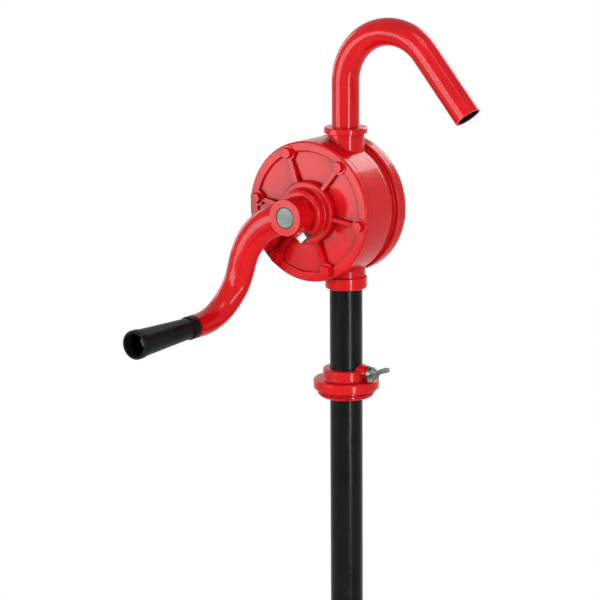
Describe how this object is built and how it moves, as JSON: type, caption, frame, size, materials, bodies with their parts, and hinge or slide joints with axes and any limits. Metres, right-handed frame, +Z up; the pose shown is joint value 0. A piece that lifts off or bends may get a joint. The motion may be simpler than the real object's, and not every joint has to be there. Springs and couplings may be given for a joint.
{
  "type": "rotary hand transfer pump",
  "caption": "Hand-cranked rotary vane pump for drums: cast drum-shaped head with curved spout, crank with spinning grip, bung adapter clamped on a long suction tube.",
  "frame": {"origin": "on the suction tube's axis at the underside of the bung adapter's lip, where it meets the drum", "axes": "+Z up along the suction tube, crank on the -Y side, spout towards +X"},
  "size_m": [0.2692, 0.2697, 1.2458],
  "materials": {
    "red_enamel": "gloss enamel on cast iron",
    "red_enamel_bolts": "gloss enamel on steel bolts",
    "black_paint": "satin black paint on steel tube",
    "zinc": "bright zinc plate",
    "bare_steel": "turned steel",
    "spring_steel": "blued spring steel",
    "cast_iron": "machined cast iron",
    "bronze": "turned bronze",
    "vane_plastic": "ground laminate",
    "seal_rubber": "nitrile rubber",
    "gasket_sheet": "fibre gasket sheet",
    "packing": "greased braid",
    "grip_plastic": "moulded black plastic"
  },
  "bodies": {
    "adapter": {"bung_adapter": "red_enamel"},
    "clamp_screw": {"wing_screw": "zinc"},
    "swivel": {"tube_seal": "seal_rubber"},
    "pump": {"suction_tube_upper": "black_paint", "tube_coupling": "black_paint", "suction_tube_lower": "black_paint", "pump_casing": "red_enamel", "front_cover": "red_enamel", "rear_cover": "red_enamel", "front_gasket": "gasket_sheet", "rear_gasket": "gasket_sheet", "front_cover_bolts": "red_enamel_bolts", "rear_cover_bolts": "red_enamel_bolts", "front_bush": "bronze", "rear_bush": "bronze", "packing_rings": "packing", "gland_nut": "red_enamel", "spout_seal": "seal_rubber"},
    "rotor_set": {"rotor": "cast_iron", "vane_1": "vane_plastic", "vane_2": "vane_plastic", "vane_3": "vane_plastic", "vane_4": "vane_plastic", "vane_springs": "spring_steel", "shaft": "bare_steel", "rotor_key": "bare_steel", "crank_arm": "red_enamel", "crank_set_screw": "zinc", "grip_washer": "zinc", "grip_spindle": "zinc"},
    "hand_grip": {"grip": "grip_plastic"},
    "spout": {"spout_tube": "red_enamel"}
  },
  "joints": [
    {"name": "wing_screw_turn", "type": "hinge", "parent": "adapter", "child": "clamp_screw", "pos_m": [0.035, 0, 0.019], "axis": [1, 0, 0], "range_deg": [0, 720]},
    {"name": "pump_swivel", "type": "hinge", "parent": "adapter", "child": "swivel", "pos_m": [0, 0, 0], "axis": [0, 0, 1], "range_deg": [-180, 180]},
    {"name": "pump_height", "type": "slide", "parent": "swivel", "child": "pump", "axis": [0, 0, 1], "range_m": [-0.0795, 0.34]},
    {"name": "crank_turn", "type": "hinge", "parent": "pump", "child": "rotor_set", "pos_m": [-0.0222, 0, 0.1879], "axis": [0, 1, 0], "continuous": true},
    {"name": "grip_spin", "type": "hinge", "parent": "rotor_set", "child": "hand_grip", "pos_m": [-0.09973, -0.15, 0.07677], "axis": [0, 1, 0], "continuous": true},
    {"name": "spout_swivel", "type": "hinge", "parent": "pump", "child": "spout", "pos_m": [0, 0, 0.2723], "axis": [0, 0, 1], "range_deg": [-30, 210]}
  ]
}
